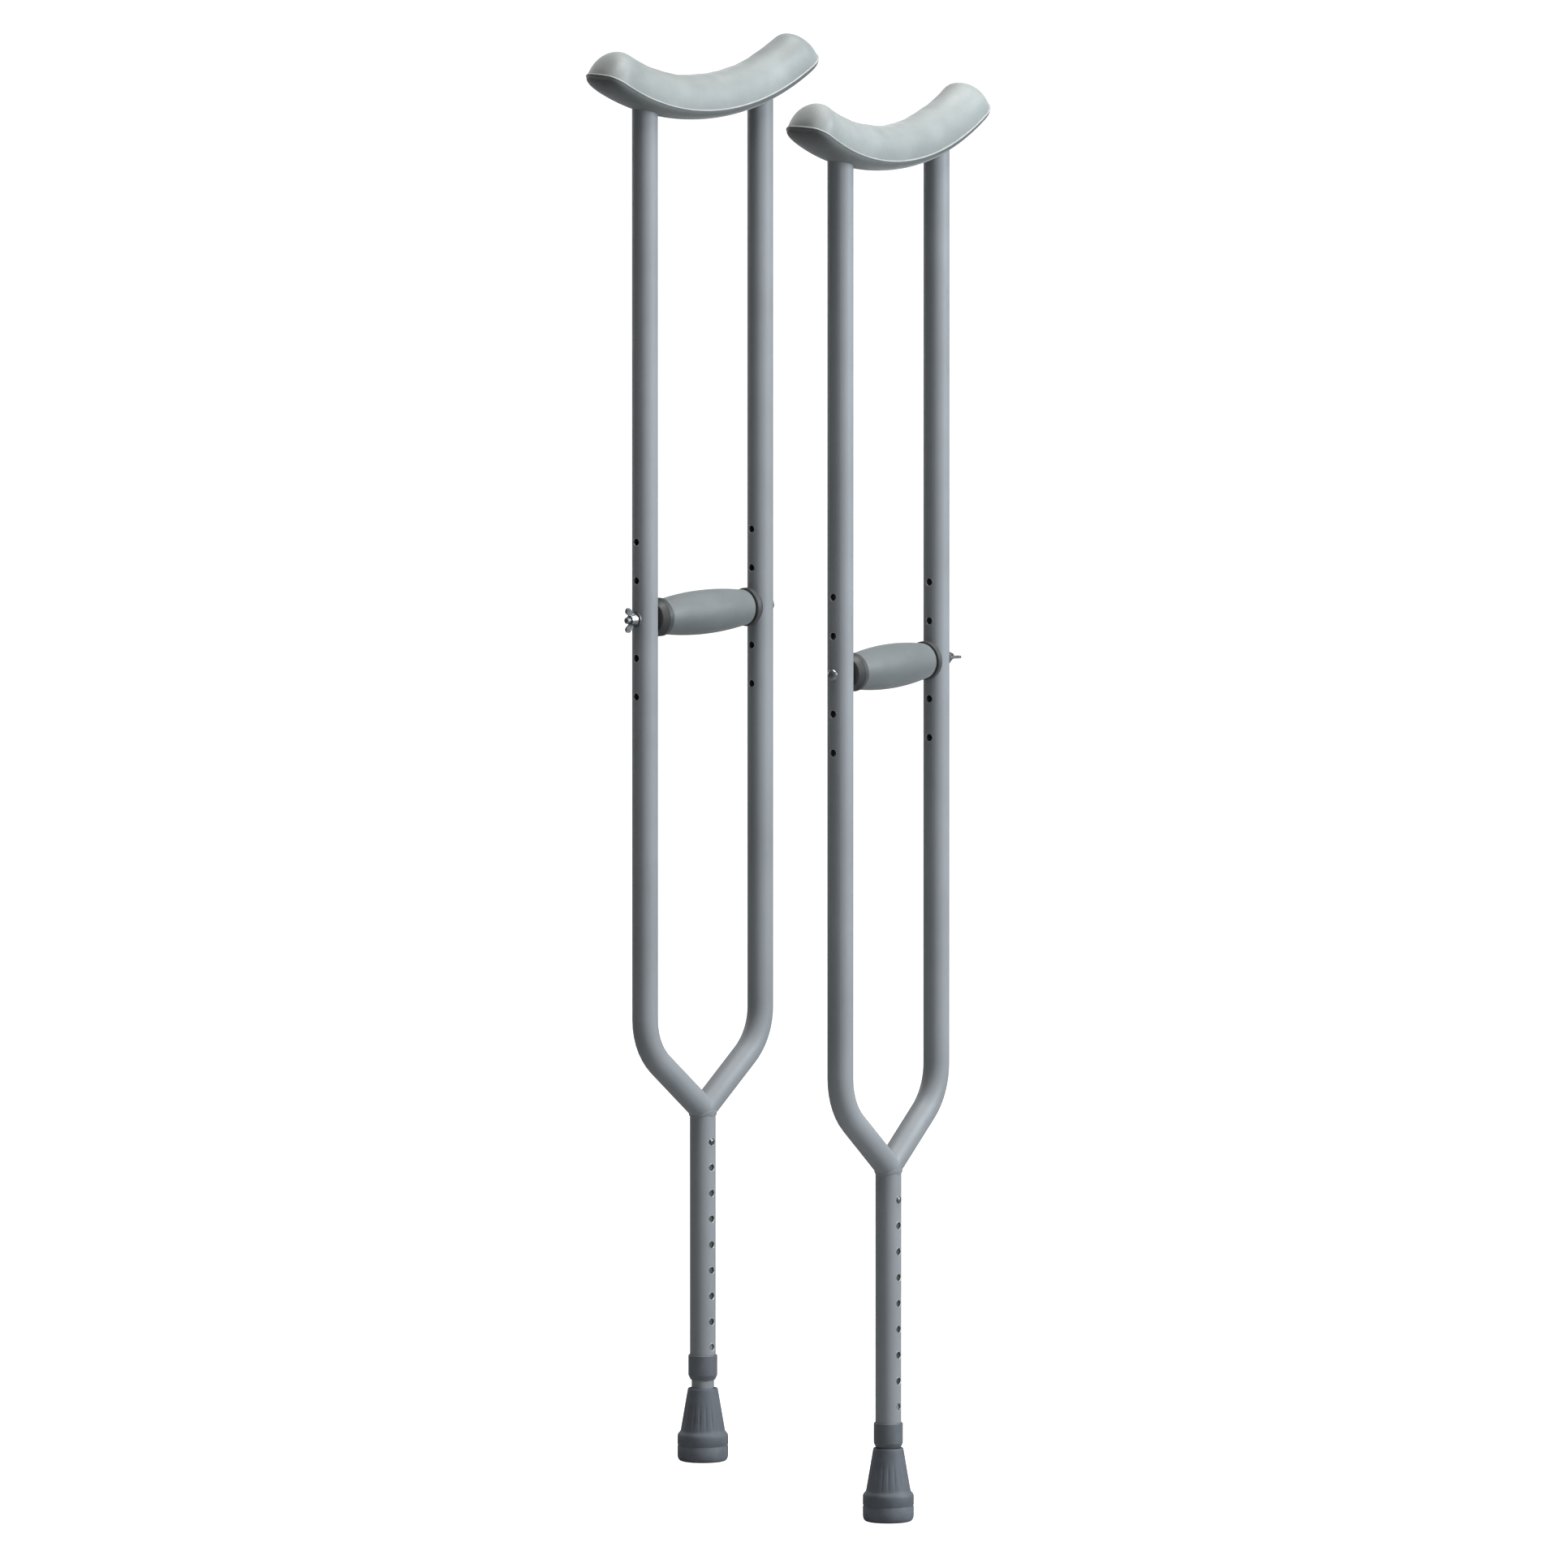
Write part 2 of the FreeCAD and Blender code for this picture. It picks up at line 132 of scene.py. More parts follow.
def lathe(profile, around):
    """Verts and faces of a closed (radius, height) outline turned about Z."""
    verts = []
    for r, z in profile:
        for j in range(around):
            t = 2 * math.pi * j / around
            verts.append((r * math.cos(t), r * math.sin(t), z))
    return verts, ring_faces(len(profile), around, True)


def bead_round(points, radius, around):
    """Verts and faces of a round bead that follows a closed loop of points."""
    pts = [Vector(p) for p in points]
    n = len(pts)
    verts = []
    for i, p in enumerate(pts):
        axis = (pts[(i + 1) % n] - pts[i - 1]).normalized()
        side = axis.orthogonal() if abs(axis.z) > 0.99 else axis.cross(Vector((0, 0, 1)))
        side.normalize()
        up = side.cross(axis)
        for j in range(around):
            t = 2 * math.pi * j / around
            verts.append(p + radius * (math.cos(t) * side + math.sin(t) * up))
    return verts, ring_faces(n, around, True)


# ---------------------------------------------------------------- materials

class Nodes:
    """Writes a node material: each method adds nodes and gives back an output, or sets the shader."""

    def __init__(self, name):
        self.material = bpy.data.materials.new(name)
        self.material.use_nodes = True
        self.tree = self.material.node_tree
        self.shader = self.tree.nodes["Principled BSDF"]
        self.coords = self.tree.nodes.new("ShaderNodeTexCoord")

    def add(self, kind, **settings):
        node = self.tree.nodes.new(kind)
        for key, value in settings.items():
            setattr(node, key, value)
        return node

    def link(self, out, into):
        self.tree.links.new(out, into)

    def set(self, **values):
        for key, value in values.items():
            self.shader.inputs[key.replace("_", " ")].default_value = value

    def stretched(self, scale):
        """Object coordinates, scaled differently along each axis."""
        mapping = self.add("ShaderNodeMapping")
        mapping.inputs["Scale"].default_value = scale
        self.link(self.coords.outputs["Object"], mapping.inputs["Vector"])
        return mapping.outputs["Vector"]

    def noise(self, scale, detail=4.0, rough=0.5, vector=None):
        node = self.add("ShaderNodeTexNoise")
        node.inputs["Scale"].default_value = scale
        node.inputs["Detail"].default_value = detail
        node.inputs["Roughness"].default_value = rough
        self.link(vector or self.coords.outputs["Object"], node.inputs["Vector"])
        return node.outputs["Fac"]

    def ramp(self, fac, stops):
        node = self.add("ShaderNodeValToRGB")
        node.color_ramp.elements[0].position, node.color_ramp.elements[0].color = stops[0]
        node.color_ramp.elements[1].position, node.color_ramp.elements[1].color = stops[-1]
        for position, colour in stops[1:-1]:
            node.color_ramp.elements.new(position).color = colour
        self.link(fac, node.inputs["Fac"])
        return node.outputs["Color"]

    def spread(self, fac, low, high):
        node = self.add("ShaderNodeMapRange")
        node.inputs["From Min"].default_value = 0.3
        node.inputs["From Max"].default_value = 0.7
        node.inputs["To Min"].default_value = low
        node.inputs["To Max"].default_value = high
        self.link(fac, node.inputs["Value"])
        return node.outputs["Result"]

    def above(self, low, high):
        """0 below one share of the object's height, 1 above another."""
        place = self.add("ShaderNodeSeparateXYZ")
        self.link(self.coords.outputs["Generated"], place.inputs["Vector"])
        rise = self.add("ShaderNodeMapRange")
        rise.inputs["From Min"].default_value = low
        rise.inputs["From Max"].default_value = high
        self.link(place.outputs["Z"], rise.inputs["Value"])
        return rise.outputs["Result"]

    def mix(self, fac, one, two, kind="MIX"):
        node = self.add("ShaderNodeMix", data_type="RGBA", blend_type=kind)
        if isinstance(fac, float):
            node.inputs["Factor"].default_value = fac
        else:
            self.link(fac, node.inputs["Factor"])
        self.link(one, node.inputs[6])
        if isinstance(two, tuple):
            node.inputs[7].default_value = two
        else:
            self.link(two, node.inputs[7])
        return node.outputs[2]

    def bump(self, heights, rounding=0.0):
        """Stacks bump layers of (height, strength, distance in metres)."""
        normal = None
        if rounding:
            bevel = self.add("ShaderNodeBevel", samples=4)
            bevel.inputs["Radius"].default_value = rounding
            normal = bevel.outputs["Normal"]
        for height, strength, distance in heights:
            node = self.add("ShaderNodeBump")
            node.inputs["Strength"].default_value = strength
            node.inputs["Distance"].default_value = distance
            self.link(height, node.inputs["Height"])
            if normal is not None:
                self.link(normal, node.inputs["Normal"])
            normal = node.outputs["Normal"]
        self.link(normal, self.shader.inputs["Normal"])


def grey(value, tint=(1.0, 1.0, 1.0)):
    return (value * tint[0], value * tint[1], value * tint[2], 1.0)


PAINTED_SHADE_FROM = (0.3, 0.38)  # shares of the inner leg's height between which the painted shade begins


def enamel(name="grey_enamel", shaded_inside=False):
    """Satin grey enamel: slight orange peel and faint marks; on the inner leg, painted shade makes the part
    inside the outer leg, seen through its holes, near black.
    """
    m = Nodes(name)
    cool = (0.96, 1.0, 1.06)
    cloud = m.ramp(m.noise(9.0, 5.0), [(0.35, grey(0.2, cool)), (0.65, grey(0.23, cool))])
    scuffs = m.noise(60.0, 8.0, 0.7, m.stretched((1.0, 1.0, 0.12)))
    marks = m.ramp(scuffs, [(0.58, grey(1.0)), (0.74, grey(0.86))])
    colour = m.mix(0.7, cloud, marks, "MULTIPLY")
    if shaded_inside:
        # painted shade: near black where the inner leg lies inside the outer leg, so its holes look dark
        colour = m.mix(m.above(*PAINTED_SHADE_FROM), colour, grey(0.055))
    m.link(colour, m.shader.inputs["Base Color"])
    m.link(m.spread(m.noise(40.0, 4.0), 0.46, 0.58), m.shader.inputs["Roughness"])
    m.bump([(m.noise(420.0, 2.0), 0.1, 0.00012), (m.noise(35.0, 3.0), 0.04, 0.0006)])
    m.set(Coat_Weight=0.05, Coat_Roughness=0.5, IOR=1.42)
    return m.material


def hole_edge_wear_and_glint():
    """Enamel worn thin round the drilled holes, and lighter and part metallic as a painted highlight: the
    glint on each hole's rim.
    """
    m = Nodes("hole_edge_wear_and_glint")
    # lighter than the enamel: worn metal and a painted highlight for the rims' glints
    m.link(m.ramp(m.noise(240.0, 4.0), [(0.35, grey(0.3)), (0.65, grey(0.5))]), m.shader.inputs["Base Color"])
    m.link(m.spread(m.noise(300.0, 4.0), 0.25, 0.4), m.shader.inputs["Roughness"])
    m.bump([(m.noise(900.0, 2.0), 0.1, 0.0002)])
    m.set(Metallic=0.4)
    return m.material


def pad_foam(name="pad_foam", dark=0.17, light=0.225):
    """Pale grey moulded vinyl foam with a fine leathery grain."""
    m = Nodes(name)
    cool = (0.93, 1.0, 1.01)
    base = m.ramp(m.noise(22.0, 6.0), [(0.32, grey(dark, cool)), (0.68, grey(light, cool))])
    stain = m.ramp(m.noise(7.0, 3.0), [(0.4, grey(1.0)), (0.75, grey(0.93, (1.0, 0.99, 0.95)))])
    m.link(m.mix(1.0, base, stain, "MULTIPLY"), m.shader.inputs["Base Color"])
    m.link(m.spread(m.noise(90.0, 4.0), 0.5, 0.62), m.shader.inputs["Roughness"])
    cells = m.add("ShaderNodeTexVoronoi", feature="SMOOTH_F1")
    cells.inputs["Scale"].default_value = 620.0
    m.link(m.coords.outputs["Object"], cells.inputs["Vector"])
    m.bump([(cells.outputs["Distance"], 0.16, 0.0005), (m.noise(45.0, 4.0), 0.22, 0.0012)])
    m.set(Sheen_Weight=0.5, Sheen_Roughness=0.35, Subsurface_Weight=0.06, Subsurface_Scale=0.004)
    return m.material


def pad_seam():
    """The lighter rolled edge along the pad."""
    m = Nodes("pad_seam")
    base = m.ramp(m.noise(120.0, 4.0), [(0.3, grey(0.25)), (0.7, grey(0.31))])
    m.link(base, m.shader.inputs["Base Color"])
    m.link(m.spread(m.noise(200.0, 3.0), 0.42, 0.55), m.shader.inputs["Roughness"])
    m.bump([(m.noise(500.0, 3.0), 0.2, 0.0004)])
    return m.material


def grip_rubber():
    """Grey moulded rubber, slightly streaked along the grip, with a matt pebble grain."""
    m = Nodes("grip_rubber")
    cool = (0.92, 1.0, 1.03)
    base = m.ramp(m.noise(14.0, 5.0, 0.6, m.stretched((0.4, 1.0, 1.6))),
                  [(0.3, grey(0.105, cool)), (0.7, grey(0.14, cool))])
    handled = m.ramp(m.noise(30.0, 6.0), [(0.45, grey(1.0)), (0.8, grey(0.88))])
    m.link(m.mix(1.0, base, handled, "MULTIPLY"), m.shader.inputs["Base Color"])
    m.link(m.spread(m.noise(70.0, 5.0), 0.52, 0.68), m.shader.inputs["Roughness"])
    grain = m.add("ShaderNodeTexVoronoi", feature="SMOOTH_F1")
    grain.inputs["Scale"].default_value = 900.0
    m.link(m.coords.outputs["Object"], grain.inputs["Vector"])
    m.bump([(grain.outputs["Distance"], 0.2, 0.0004), (m.noise(60.0, 3.0), 0.12, 0.0008)])
    m.set(Sheen_Weight=0.2, Sheen_Roughness=0.4)
    return m.material


def cap_plastic():
    """Mid-grey moulded plastic of the grip's end caps, coloured near black here as painted shade for their
    end faces.
    """
    m = Nodes("cap_plastic")
    # painted shade: near-black base colour standing for the shade on the caps' end faces
    m.link(m.ramp(m.noise(50.0, 5.0), [(0.3, grey(0.034)), (0.7, grey(0.046))]),
           m.shader.inputs["Base Color"])
    m.link(m.spread(m.noise(110.0, 4.0), 0.42, 0.55), m.shader.inputs["Roughness"])
    m.bump([(m.noise(700.0, 2.0), 0.12, 0.0003)], rounding=0.0008)
    return m.material


def collar_plastic():
    """Dark grey bushing plastic with fine turning marks."""
    m = Nodes("collar_plastic")
    blue = (0.92, 0.98, 1.12)
    m.link(m.ramp(m.noise(45.0, 5.0), [(0.3, grey(0.08, blue)), (0.7, grey(0.11, blue))]),
           m.shader.inputs["Base Color"])
    m.link(m.spread(m.noise(90.0, 4.0), 0.42, 0.58), m.shader.inputs["Roughness"])
    rings = m.noise(90.0, 3.0, 0.5, m.stretched((0.05, 0.05, 14.0)))
    m.bump([(rings, 0.08, 0.0003), (m.noise(600.0, 2.0), 0.1, 0.0003)], rounding=0.0007)
    return m.material


def foot_rubber():
    """Blue-grey rubber, dusty and a little scuffed towards the floor."""
    m = Nodes("foot_rubber")
    blue = (0.9, 0.98, 1.16)
    body = m.ramp(m.noise(30.0, 6.0, 0.6), [(0.3, grey(0.068, blue)), (0.7, grey(0.105, blue))])
    dust = m.ramp(m.noise(75.0, 8.0, 0.75), [(0.45, grey(0.0)), (0.8, grey(0.35))])
    place = m.add("ShaderNodeSeparateXYZ")
    m.link(m.coords.outputs["Object"], place.inputs["Vector"])
    low = m.add("ShaderNodeMapRange")
    low.inputs["From Min"].default_value = 0.045
    low.inputs["From Max"].default_value = 0.0
    m.link(place.outputs["Z"], low.inputs["Value"])
    near_floor = m.add("ShaderNodeMath", operation="MULTIPLY")
    m.link(low.outputs["Result"], near_floor.inputs[0])
    m.link(dust, near_floor.inputs[1])
    m.link(m.mix(near_floor.outputs[0], body, grey(0.2)), m.shader.inputs["Base Color"])
    m.link(m.spread(m.noise(60.0, 5.0), 0.55, 0.75), m.shader.inputs["Roughness"])
    m.bump([(m.noise(380.0, 3.0), 0.22, 0.0004), (m.noise(70.0, 3.0), 0.12, 0.0008)])
    return m.material


def zinc(name="zinc", dark=0.21, light=0.34, rough=(0.28, 0.42)):
    """Bright zinc plating with cloudy patches and fine scratches."""
    m = Nodes(name)
    m.link(m.ramp(m.noise(160.0, 5.0), [(0.3, grey(dark)), (0.7, grey(light, (0.94, 1.0, 1.06)))]),
           m.shader.inputs["Base Color"])
    m.link(m.spread(m.noise(260.0, 5.0), *rough), m.shader.inputs["Roughness"])
    m.bump([(m.noise(900.0, 3.0, 0.6, m.stretched((1.0, 0.15, 1.0))), 0.15, 0.0002)], rounding=0.0004)
    m.set(Metallic=1.0)
    return m.material


def moulded(name, low, high):
    """Plain moulded nylon for the hidden parts."""
    m = Nodes(name)
    m.link(m.ramp(m.noise(60.0, 4.0), [(0.3, grey(low)), (0.7, grey(high))]), m.shader.inputs["Base Color"])
    m.link(m.spread(m.noise(90.0, 4.0), 0.45, 0.6), m.shader.inputs["Roughness"])
    m.bump([(m.noise(500.0, 3.0), 0.12, 0.0003)], rounding=0.0005)
    return m.material


MATERIALS = {
    "grey_enamel": enamel(),
    "inner_enamel_painted_shade": enamel("inner_enamel_painted_shade", shaded_inside=True),
    "hole_edge_wear_and_glint": hole_edge_wear_and_glint(),
    "pad_foam": pad_foam(),
    # painted shade: a darker copy of the pad foam for the pad's underside
    "pad_underside_painted_shade": pad_foam("pad_underside_painted_shade", 0.09, 0.115),
    "pad_seam": pad_seam(),
    "grip_rubber": grip_rubber(),
    "cap_plastic": cap_plastic(),
    "collar_plastic": collar_plastic(),
    "foot_rubber": foot_rubber(),
    "zinc": zinc(),
    "spring_steel": zinc("spring_steel", 0.1, 0.17, (0.3, 0.45)),
    "nylon": moulded("nylon", 0.5, 0.62),
    "black_nylon": moulded("black_nylon", 0.012, 0.022),
}


def dress(obj, material):
    obj.data.materials.clear()
    obj.data.materials.append(MATERIALS[material])


def dress_cad():
    """Gives every carried-over CAD node its finish, by its record slot."""
    for entry in frame["record"]["subparts"]:
        obj = NODES[entry["node"]]
        inner = entry["node"].startswith("inner_leg")
        for slot in obj.material_slots:
            slot.material = MATERIALS["inner_enamel_painted_shade" if inner else entry["material_slot"]]


# ---------------------------------------------------------------- underarm pads

PAD_END_X = 144.0         # how far the seam reaches along X
PAD_HALF_WIDTH = 25.4
PAD_SEAM_H = 10.5         # the seam's height over the underside
PAD_CROWN = 33.4          # the crown's height over the seam
PAD_NOSE = 22.0           # length over which the crown rounds off at each end
PAD_BELLY_NOSE = 30.0     # the same for the underside
PAD_CORNER = 21.0         # corner radius seen from above
BLUNT = 2.5               # 2 would be a true ellipse; more is fuller
CROWN_POWER = 0.78        # shape of the cross-section; less is boxier
BELLY_POWER = 0.8
SEAM_R = 0.85             # radius of the seam's bead
SEAM_PROUD = 0.1          # how far its middle stands off the pad's side
PAD_RINGS = 121
PAD_AROUND = 64
PAD_REACH = ARC_R * math.asin(PAD_END_X / (ARC_R - PAD_SEAM_H))


def pad_point(along, across, height):
    """A point on the bent pad: along the arc, across it, and above the underside."""
    angle = along / ARC_R
    r = ARC_R - height
    return (r * math.sin(angle), across, ARC_CENTRE_Z - r * math.cos(angle))


def rounding(to_end, length):
    """1 away from the end, falling to 0 at the end along a full, blunt quarter round."""
    back = max(0.0, 1.0 - to_end / length)
    return max(0.0, 1.0 - back ** BLUNT) ** (1.0 / BLUNT)


def pad_half_width(along):
    to_end = PAD_REACH - abs(along)
    return PAD_HALF_WIDTH - PAD_CORNER * (1.0 - rounding(to_end, PAD_CORNER))


def pad_rings():
    """Places along the pad, closer together at the rounded ends."""
    steps = [2.0 * i / (PAD_RINGS - 1) - 1.0 for i in range(PAD_RINGS)]
    return [PAD_REACH * (0.35 * t + 0.65 * math.sin(math.pi / 2 * t)) for t in steps]


def soft_wave(along, t):
    """Slow swellings of the foam, a fraction of a millimetre."""
    return (0.30 * math.sin(0.051 * along + 1.3 * math.sin(t)) + 0.22 * math.sin(0.113 * along + 2.0 * t)
            + 0.12 * math.sin(0.23 * along - 3.0 * t + 0.7))


def pad_shell(wave):
    verts = []
    for along in pad_rings():
        to_end = PAD_REACH - abs(along)
        crown = PAD_CROWN * rounding(to_end, PAD_NOSE)
        belly = PAD_SEAM_H * rounding(to_end, PAD_BELLY_NOSE)
        width = pad_half_width(along)
        for j in range(PAD_AROUND):
            t = 2 * math.pi * j / PAD_AROUND
            lift = math.sin(t)
            swell = wave * soft_wave(along, t) * abs(lift) * rounding(to_end, PAD_NOSE)
            if lift >= 0:
                height = PAD_SEAM_H + crown * lift ** CROWN_POWER + swell
            else:
                height = PAD_SEAM_H - belly * (-lift) ** BELLY_POWER
            verts.append(pad_point(along, width * math.cos(t), height))
    faces = ring_faces(PAD_RINGS, PAD_AROUND, False)
    faces.append(tuple(range(PAD_AROUND)))
    faces.append(tuple(range((PAD_RINGS - 1) * PAD_AROUND, PAD_RINGS * PAD_AROUND)))
    return verts, faces


def pad_seam_line():
    """The pad's widest line, once round."""
    near, far = [], []
    for along in pad_rings():
        across = pad_half_width(along) + SEAM_PROUD
        near.append(pad_point(along, -across, PAD_SEAM_H))
        far.append(pad_point(along, across, PAD_SEAM_H))
    return near + far[::-1]


def make_pad(name):
    pad = mesh_object("pad_cover_" + name, *pad_shell(1.0 if name == "a" else -1.0), name)
    dress(pad, "pad_foam")
    # painted shade: faces below the seam take the darker foam copy, standing for the shade under the pad
    pad.data.materials.append(MATERIALS["pad_underside_painted_shade"])
    for poly in pad.data.polygons:
        below_seam = poly.index % PAD_AROUND >= PAD_AROUND // 2
        poly.material_index = 1 if below_seam and len(poly.vertices) == 4 else 0
    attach(pad, "frame_" + name)
    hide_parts("underarm_pad_" + name)
    seam = mesh_object("pad_seam_" + name, *bead_round(pad_seam_line(), SEAM_R, 8), name)
    dress(seam, "pad_seam")
    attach(seam, "frame_" + name)


# ---------------------------------------------------------------- handgrips

GRIP_HALF = 58.0
GRIP_END_R = 17.5
GRIP_MID_R = 21.7
GRIP_ROUND = 3.2          # rounding of the sleeve's two rims
GRIP_BORE_R = 10.1
GRIP_STEPS = 40
LATHE_STEPS = 96


def grip_profile():
    """(radius, distance along the grip) from the bore round the barrel and back."""
    rim_r, reach = GRIP_END_R - GRIP_ROUND, GRIP_HALF - GRIP_ROUND
    rim = (GRIP_ROUND, GRIP_ROUND)
    barrel = []
    for i in range(1, GRIP_STEPS):
        z = -reach + 2 * reach * i / GRIP_STEPS
        barrel.append((GRIP_END_R + (GRIP_MID_R - GRIP_END_R) * (1 - (z / reach) ** 2), z))
    return ([(GRIP_BORE_R, -GRIP_HALF)] + arc((rim_r, -reach), rim, -90, 0, 8) + barrel
            + arc((rim_r, reach), rim, 0, 90, 8) + [(GRIP_BORE_R, GRIP_HALF)])


def lie_along_x(verts, middle_z):
    """Turns a lathed shape from upright to level, with its middle at a height."""
    return [(z, y, middle_z - x) for x, y, z in verts]


def make_grip(name):
    verts, faces = lathe(grip_profile(), LATHE_STEPS)
    grip = mesh_object("grip_cover_" + name, lie_along_x(verts, GRIP_Z), faces, name)
    dress(grip, "grip_rubber")
    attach(grip, "grip_" + name)
    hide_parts("grip_sleeve_" + name)


# ---------------------------------------------------------------- feet

FOOT_R = 24.95            # full-width base band
TREAD_STARTS = (6.0, 13.0)
TREAD_WIDTH = 3.0
TREAD_DEPTH = 1.4
TREAD_SLOPE = 0.2         # how far each side of a groove leans in
CONE_FOOT = (21.7, 31.0)  # (radius, height) of the cone's two ends
CONE_TOP = (14.85, 71.0)
CONE_STEPS = 25
FOOT_TOP_Z = 72.0
SOCKET_R = 11.15
# The foot's edges from the floor up, as (radius, height), listed one by one.
BASE_EDGE = [(21.0, 0.0), (22.6, 0.5), (23.8, 1.6), (24.6, 3.4), (FOOT_R, 6.0)]
BAND_GROOVE = [(FOOT_R, 14.4), (24.5, 15.2), (24.5, 15.9), (FOOT_R, 16.7)]
SHOULDER = [(FOOT_R, 24.6), (24.7, 26.0), (24.0, 27.4), (22.9, 28.5), (22.1, 29.7)]
OUTER_RIM = [(14.8, 71.0), (14.5, 71.8), (13.9, FOOT_TOP_Z)]
INNER_RIM = [(11.8, FOOT_TOP_Z), (11.2, 71.5), (SOCKET_R, 70.0)]
SOCKET_Z = 10.0
AXIS_R = 0.01             # stands for the axis, where the outline meets itself
FOOT_FLUTES = 20
FOOT_STEPS = 240          # twelve to each flute
FLUTE_DEPTH = 0.42
FLUTES_Z = (30.0, 58.0)
FLUTES_OUTSIDE = 14.0     # the socket lies inside this radius and has no flutes


def foot_outline():
    """(radius, height) up the outside of the foot and down its socket."""
    outline = [(AXIS_R, 0.0)]
    for r in TREAD_STARTS:
        far = r + TREAD_WIDTH
        outline += [(r, 0.0), (r + TREAD_SLOPE, TREAD_DEPTH),
                    (far - TREAD_SLOPE, TREAD_DEPTH), (far, 0.0)]
    outline += BASE_EDGE + BAND_GROOVE + SHOULDER + [CONE_FOOT]
    for i in range(1, CONE_STEPS):
        share = i / CONE_STEPS
        outline.append(tuple(a + (b - a) * share for a, b in zip(CONE_FOOT, CONE_TOP)))
    return outline + OUTER_RIM + INNER_RIM + [(SOCKET_R, SOCKET_Z), (AXIS_R, SOCKET_Z)]


def foot_mesh():
    """The foot's outline turned round, with shallow flutes on the skirt of the cone."""
    verts, faces = lathe(foot_outline(), FOOT_STEPS)
    low, high = FLUTES_Z
    fluted = []
    for x, y, z in verts:
        r = math.hypot(x, y)
        if r > FLUTES_OUTSIDE and low < z < high:
            fade = math.sin(math.pi * (z - low) / (high - low)) ** 0.6
            wave = 0.5 + 0.5 * math.cos(FOOT_FLUTES * math.atan2(y, x))
            keep = 1 - FLUTE_DEPTH * fade * wave ** 4 / r
            x, y = x * keep, y * keep
        fluted.append((x, y, z))
    return fluted, faces


def make_foot(name):
    foot = mesh_object("foot_cover_" + name, *foot_mesh(), name)
    dress(foot, "foot_rubber")
    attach(foot, "leg_" + name)
    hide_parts("foot_tip_" + name)


# ---------------------------------------------------------------- small details

LIP_R = 0.42              # radius of the bead round a hole
LIP_SUNK = 0.34           # how far its middle lies under the tube's surface
GRIP_LIP_R = 3.95         # radius of the loop round a grip hole
LEG_LIP_R = 3.85
LIP_STEPS = 28


def hole_lip(centre, side, loop_r):
    """A loop just under a tube's surface round a hole: side is 1 or -1 along X, or 0 towards -Y."""
    points = []
    for i in range(LIP_STEPS):
        t = 2 * math.pi * i / LIP_STEPS
        level, rise = loop_r * math.cos(t), loop_r * math.sin(t)
        out = math.sqrt((TUBE_R - LIP_SUNK) ** 2 - level * level)
        if side:
            points.append((centre[0] + side * out, centre[1] + level, centre[2] + rise))
        else:
            points.append((centre[0] + level, centre[1] - out, centre[2] + rise))
    return points


def make_hole_lips(name):
    """The thin worn edge round every height hole of one crutch, lighter to paint the glint on its rim."""
    verts, faces = [], []
    loops = [hole_lip((tube * HALF, 0, z), side, GRIP_LIP_R)
             for z in GRIP_LEVELS for tube in (-1, 1) for side in (-1, 1)]
    loops += [hole_lip((0, 0, z), 0, LEG_LIP_R) for z in LEG_LEVELS]
    for loop in loops:
        loop_verts, loop_faces = bead_round(loop, LIP_R, 8)
        faces += [tuple(i + len(verts) for i in face) for face in loop_faces]
        verts += loop_verts
    lips = mesh_object("hole_lips_" + name, verts, faces, name)
    dress(lips, "hole_edge_wear_and_glint")
    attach(lips, "frame_" + name)


# ---------------------------------------------------------------- studio
# Places and sizes here are in metres and angles in degrees, unless a comment says otherwise.

CAMERA_AZ = 45.2          # from -Y towards -X
CAMERA_EL = 6.75
CAMERA_DISTANCE = 64.0
VIEW_WIDTH = 1.538217     # width of the picture at the aim
AIM_RIGHT = 0.079618      # the aim, from the middle of crutch A's foot
AIM_UP = 0.663615
SENSOR = 36.0             # sensor width, in millimetres
LIGHTS = [                # name, (right, forward, up) from the middle, size, watts, colour
    ("key", (3.2, 1.0, 1.6), (1.2, 2.6), 210.0, (0.88, 0.96, 1.0)),
    ("top", (0.4, 0.2, 3.0), (2.0, 2.0), 120.0, (1.0, 1.0, 0.97)),
    ("front", (1.2, 4.0, 1.0), (1.6, 2.4), 32.0, (0.95, 0.98, 1.0)),
    ("back", (-2.4, -2.6, 1.0), (1.6, 2.4), 26.0, (0.95, 0.98, 1.0)),
]
FLOOR_REACH = 600.0
FLOOR_Z = -0.0004
FLOOR_GREY = 0.32         # as a source of bounced light
FLOOR_GLOW = 1.1          # added where the floor is seen directly
WORLD_DIM = 0.12          # strength as a light
WORLD_SEEN = 1.2          # strength where it is seen directly


def camera_basis():
    a, e = math.radians(CAMERA_AZ), math.radians(CAMERA_EL)
    back = Vector((-math.sin(a) * math.cos(e), -math.cos(a) * math.cos(e), math.sin(e)))
    right = Vector((math.cos(a), -math.sin(a), 0.0))
    return back, right, back.cross(right)


def make_camera():
    back, right, up = camera_basis()
    aim = foot_centre("a") + right * AIM_RIGHT + up * AIM_UP
    data = bpy.data.cameras.new("camera")
    data.sensor_width = SENSOR
    data.lens = SENSOR * CAMERA_DISTANCE / VIEW_WIDTH
    data.clip_end = 2000.0
    camera = bpy.data.objects.new("camera", data)
    bpy.context.scene.collection.objects.link(camera)
    camera.rotation_mode = "QUATERNION"
    camera.location = aim + back * CAMERA_DISTANCE
    camera.rotation_quaternion = back.to_track_quat("Z", "Y")
    bpy.context.scene.camera = camera


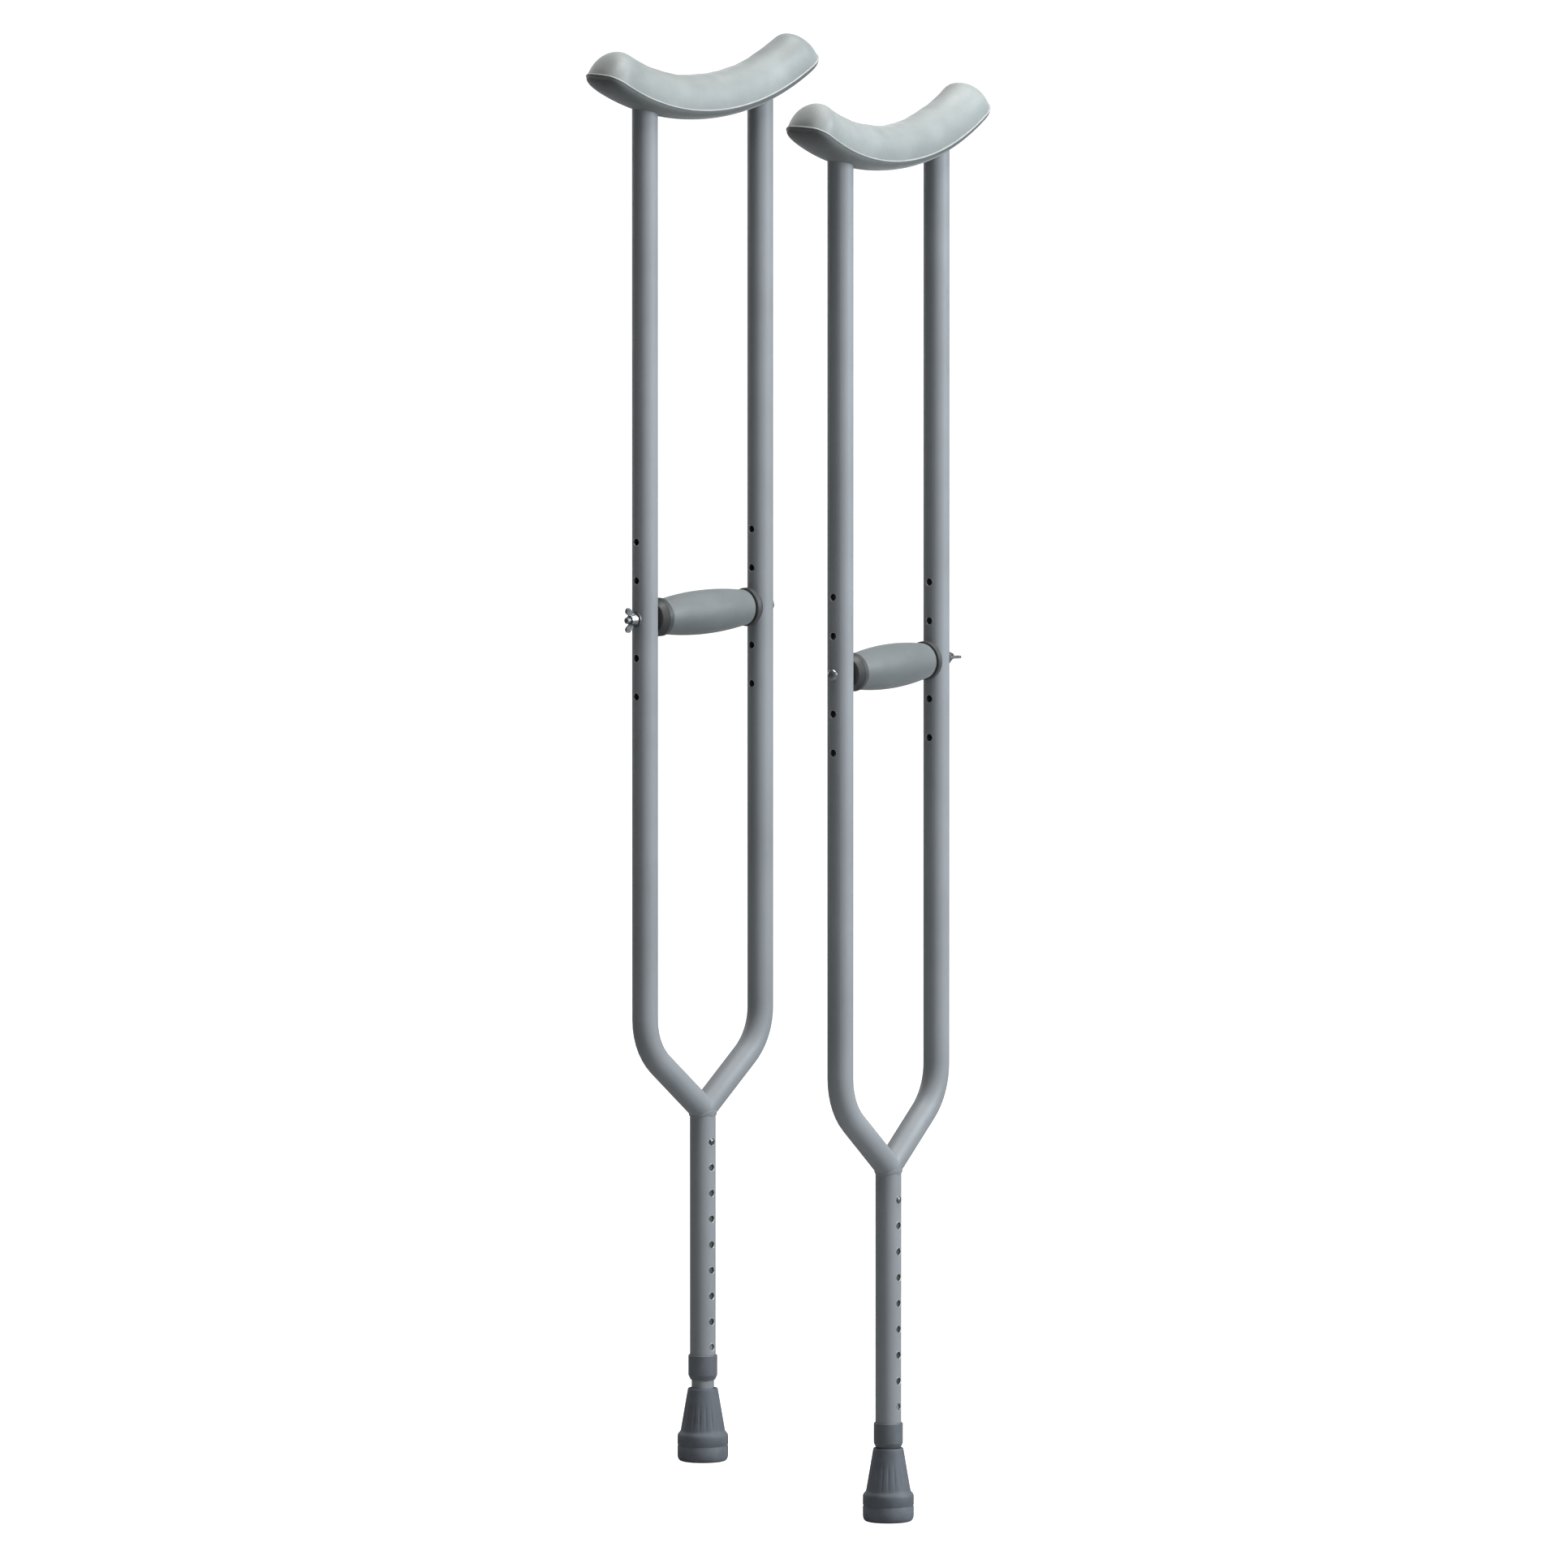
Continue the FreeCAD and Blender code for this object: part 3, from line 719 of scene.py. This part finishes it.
def area_light(name, offset, size, power, colour):
    """A soft rectangular light aimed at the middle of the pair."""
    middle = (CAD_BOX[0] + CAD_BOX[1]) / 2
    data = bpy.data.lights.new(name, "AREA")
    data.shape = "RECTANGLE"
    data.size, data.size_y = size
    data.energy = power
    data.color = colour
    light = bpy.data.objects.new(name, data)
    bpy.context.scene.collection.objects.link(light)
    light.location = middle + offset
    light.rotation_mode = "QUATERNION"
    light.rotation_quaternion = offset.to_track_quat("Z", "Y")
    light.visible_camera = False


def make_lights():
    back, right, _ = camera_basis()
    forward = Vector((back.x, back.y, 0)).normalized()
    for name, (to_right, to_front, rise), size, power, colour in LIGHTS:
        offset = right * to_right + forward * to_front + Vector((0, 0, rise))
        area_light(name, offset, size, power, colour)


def make_world():
    """A dim cool studio, white like the floor where it is seen directly."""
    world = bpy.data.worlds.new("studio")
    world.use_nodes = True
    tree = world.node_tree
    dim = tree.nodes["Background"]
    dim.inputs["Color"].default_value = (0.9, 0.95, 1.0, 1.0)
    dim.inputs["Strength"].default_value = WORLD_DIM
    white = tree.nodes.new("ShaderNodeBackground")
    white.inputs["Color"].default_value = (1.0, 1.0, 1.0, 1.0)
    white.inputs["Strength"].default_value = WORLD_SEEN
    seen = tree.nodes.new("ShaderNodeLightPath")
    pick = tree.nodes.new("ShaderNodeMixShader")
    tree.links.new(seen.outputs["Is Camera Ray"], pick.inputs["Fac"])
    tree.links.new(dim.outputs["Background"], pick.inputs[1])
    tree.links.new(white.outputs["Background"], pick.inputs[2])
    tree.links.new(pick.outputs["Shader"], tree.nodes["World Output"].inputs["Surface"])
    bpy.context.scene.world = world


def make_floor():
    """A very wide pale floor: white to the eye, darker as a source of bounced light."""
    mesh = bpy.data.meshes.new("floor")
    corners = [(x * FLOOR_REACH, y * FLOOR_REACH, FLOOR_Z) for x, y in ((-1, -1), (1, -1), (1, 1), (-1, 1))]
    mesh.from_pydata(corners, [], [(0, 1, 2, 3)])
    floor = bpy.data.objects.new("floor", mesh)
    bpy.context.scene.collection.objects.link(floor)
    material = bpy.data.materials.new("floor_paper")
    material.use_nodes = True
    tree = material.node_tree
    shader = tree.nodes["Principled BSDF"]
    shader.inputs["Base Color"].default_value = grey(FLOOR_GREY)
    shader.inputs["Roughness"].default_value = 1.0
    shader.inputs["Specular IOR Level"].default_value = 0.0
    glow = tree.nodes.new("ShaderNodeEmission")
    glow.inputs["Color"].default_value = (1.0, 1.0, 1.0, 1.0)
    glow.inputs["Strength"].default_value = FLOOR_GLOW
    both = tree.nodes.new("ShaderNodeAddShader")
    seen = tree.nodes.new("ShaderNodeLightPath")
    pick = tree.nodes.new("ShaderNodeMixShader")
    tree.links.new(shader.outputs["BSDF"], both.inputs[0])
    tree.links.new(glow.outputs["Emission"], both.inputs[1])
    tree.links.new(seen.outputs["Is Camera Ray"], pick.inputs["Fac"])
    tree.links.new(shader.outputs["BSDF"], pick.inputs[1])
    tree.links.new(both.outputs["Shader"], pick.inputs[2])
    tree.links.new(pick.outputs["Shader"], tree.nodes["Material Output"].inputs["Surface"])
    mesh.materials.append(material)


dress_cad()
for crutch_name in "ab":
    make_pad(crutch_name)
    make_grip(crutch_name)
    make_foot(crutch_name)
    make_hole_lips(crutch_name)
make_camera()
make_lights()
make_world()
make_floor()
bpy.context.scene.view_settings.view_transform = "Standard"
